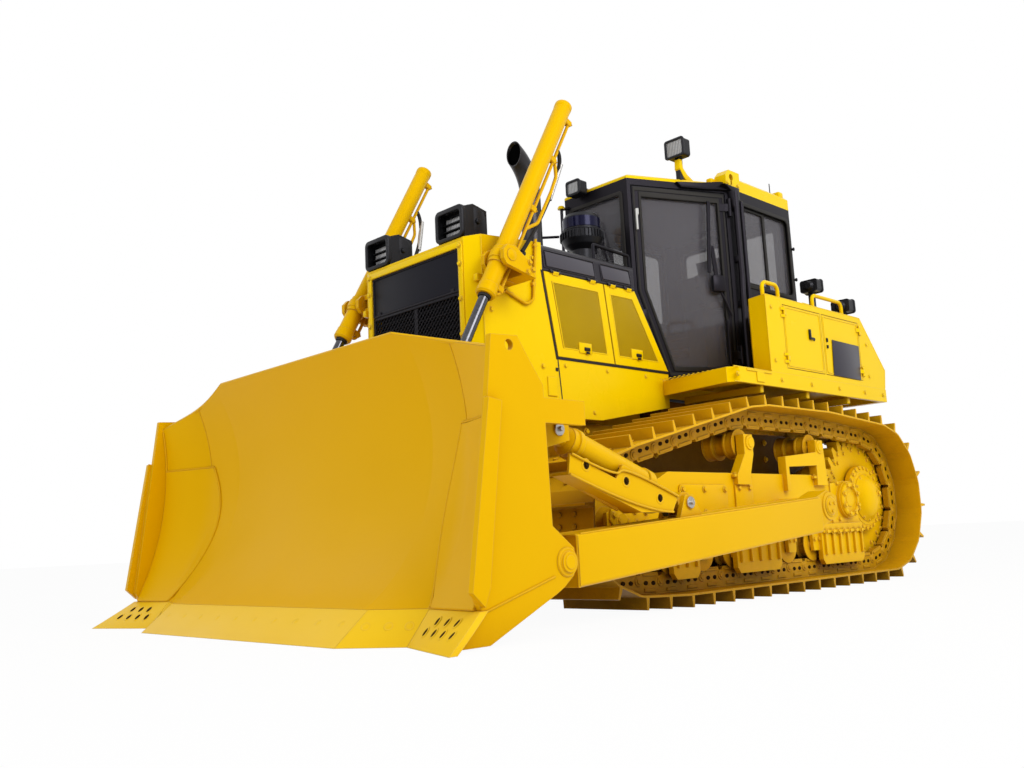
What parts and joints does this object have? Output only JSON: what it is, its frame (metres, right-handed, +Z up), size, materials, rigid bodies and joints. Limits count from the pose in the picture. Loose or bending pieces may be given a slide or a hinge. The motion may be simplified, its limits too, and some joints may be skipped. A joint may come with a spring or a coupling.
{
  "type": "bulldozer",
  "caption": "Crawler bulldozer with a semi-U blade on outside push arms, twin lift cylinders, enclosed cab and oval tracks.",
  "frame": {"origin": "on the ground under the middle of the machine's box, blade tip to drawbar", "axes": "+X forward to the blade, +Y the machine's left, +Z up"},
  "size_m": [5.4999, 3.41, 3.37],
  "materials": {
    "body_yellow": "gloss paint",
    "frame_yellow": "satin paint",
    "track_yellow": "satin paint on cast steel",
    "blade_yellow": "satin paint",
    "edge_yellow": "satin paint on wear steel",
    "chrome_rod": "polished",
    "black_paint": "satin paint",
    "black_steel": "matt paint",
    "black_plastic": "grained",
    "seat_fabric": "woven",
    "glass": "tinted"
  },
  "bodies": {
    "tractor": {"battery_box": "body_yellow", "cab_frame": "black_paint", "cab_glass": "glass", "cab_roof": "body_yellow", "controls": "black_plastic", "drawbar": "frame_yellow", "engine_block": "frame_yellow", "exhaust": "black_steel", "fenders": "body_yellow", "fuel_tank": "body_yellow", "grab_rails": "body_yellow", "grille": "black_steel", "hood_top": "black_paint", "hydraulic_tank": "body_yellow", "idlers": "frame_yellow", "lift_yokes": "body_yellow", "main_frame": "frame_yellow", "precleaner": "black_plastic", "radiator_guard": "body_yellow", "seat": "seat_fabric", "side_panels": "body_yellow", "sprockets": "frame_yellow", "track_frames": "frame_yellow", "track_left": "track_yellow", "track_right": "track_yellow", "track_rollers": "frame_yellow", "work_lamps": "black_plastic"},
    "push_frame": {"blade": "blade_yellow", "cutting_edges": "edge_yellow", "push_arms": "blade_yellow", "tilt_links": "blade_yellow"},
    "cab_door_left": {"cab_door_left": "black_paint", "cab_door_glass_left": "glass"},
    "cab_door_right": {"cab_door_right": "black_paint", "cab_door_glass_right": "glass"},
    "lift_barrel_left": {"lift_barrel_left": "blade_yellow"},
    "lift_barrel_right": {"lift_barrel_right": "blade_yellow"},
    "lift_rod_left": {"lift_rod_left": "chrome_rod"},
    "lift_rod_right": {"lift_rod_right": "chrome_rod"},
    "box_door_front": {"box_door_front": "body_yellow"},
    "box_door_rear": {"box_door_rear": "body_yellow"},
    "engine_door_left_front": {"engine_door_left_front": "body_yellow"},
    "engine_door_left_rear": {"engine_door_left_rear": "body_yellow"},
    "engine_door_right_front": {"engine_door_right_front": "body_yellow"},
    "engine_door_right_rear": {"engine_door_right_rear": "body_yellow"}
  },
  "joints": [
    {"name": "blade_lift", "type": "hinge", "parent": "tractor", "child": "push_frame", "pos_m": [-0.69, 0, 0.54], "axis": [0, -1, 0], "range_deg": [-7, 18]},
    {"name": "lift_barrel_left", "type": "hinge", "parent": "tractor", "child": "lift_barrel_left", "pos_m": [1.406, 0.7, 2.012], "axis": [0, -1, 0], "range_deg": [-7, 18]},
    {"name": "lift_rod_left", "type": "slide", "parent": "lift_barrel_left", "child": "lift_rod_left", "axis": [-0.4896, 0, 0.8719], "range_m": [-0.3115, 0.8008]},
    {"name": "lift_barrel_right", "type": "hinge", "parent": "tractor", "child": "lift_barrel_right", "pos_m": [1.406, -0.7, 2.012], "axis": [0, -1, 0], "range_deg": [-7, 18]},
    {"name": "lift_rod_right", "type": "slide", "parent": "lift_barrel_right", "child": "lift_rod_right", "axis": [-0.4896, 0, 0.8719], "range_m": [-0.3115, 0.8008]},
    {"name": "cab_door_left", "type": "hinge", "parent": "tractor", "child": "cab_door_left", "pos_m": [-1.0858, 0.6723, 2.2], "axis": [0, 0, 1], "range_deg": [0, 60]},
    {"name": "cab_door_right", "type": "hinge", "parent": "tractor", "child": "cab_door_right", "pos_m": [-1.0858, -0.6723, 2.2], "axis": [0, 0, -1], "range_deg": [0, 60]},
    {"name": "engine_door_left_front", "type": "hinge", "parent": "tractor", "child": "engine_door_left_front", "pos_m": [0.6, 0.568, 2.057], "axis": [1, 0, 0], "range_deg": [0, 75]},
    {"name": "engine_door_left_rear", "type": "hinge", "parent": "tractor", "child": "engine_door_left_rear", "pos_m": [0, 0.568, 2.057], "axis": [1, 0, 0], "range_deg": [0, 75]},
    {"name": "engine_door_right_front", "type": "hinge", "parent": "tractor", "child": "engine_door_right_front", "pos_m": [0.6, -0.568, 2.057], "axis": [-1, 0, 0], "range_deg": [0, 75]},
    {"name": "engine_door_right_rear", "type": "hinge", "parent": "tractor", "child": "engine_door_right_rear", "pos_m": [0, -0.568, 2.057], "axis": [-1, 0, 0], "range_deg": [0, 75]},
    {"name": "box_door_front", "type": "hinge", "parent": "tractor", "child": "box_door_front", "pos_m": [-0.7925, 1.215, 1.7], "axis": [0, 0, -1], "range_deg": [0, 100]},
    {"name": "box_door_rear", "type": "hinge", "parent": "tractor", "child": "box_door_rear", "pos_m": [-1.8875, 1.215, 1.7], "axis": [0, 0, 1], "range_deg": [0, 100]}
  ],
  "couplings": [
    {"joint": "lift_barrel_left", "follows": "blade_lift", "ratio": 1},
    {"joint": "lift_rod_left", "follows": "blade_lift", "m_per_rad": 2.549},
    {"joint": "lift_barrel_right", "follows": "blade_lift", "ratio": 1},
    {"joint": "lift_rod_right", "follows": "blade_lift", "m_per_rad": 2.549}
  ]
}
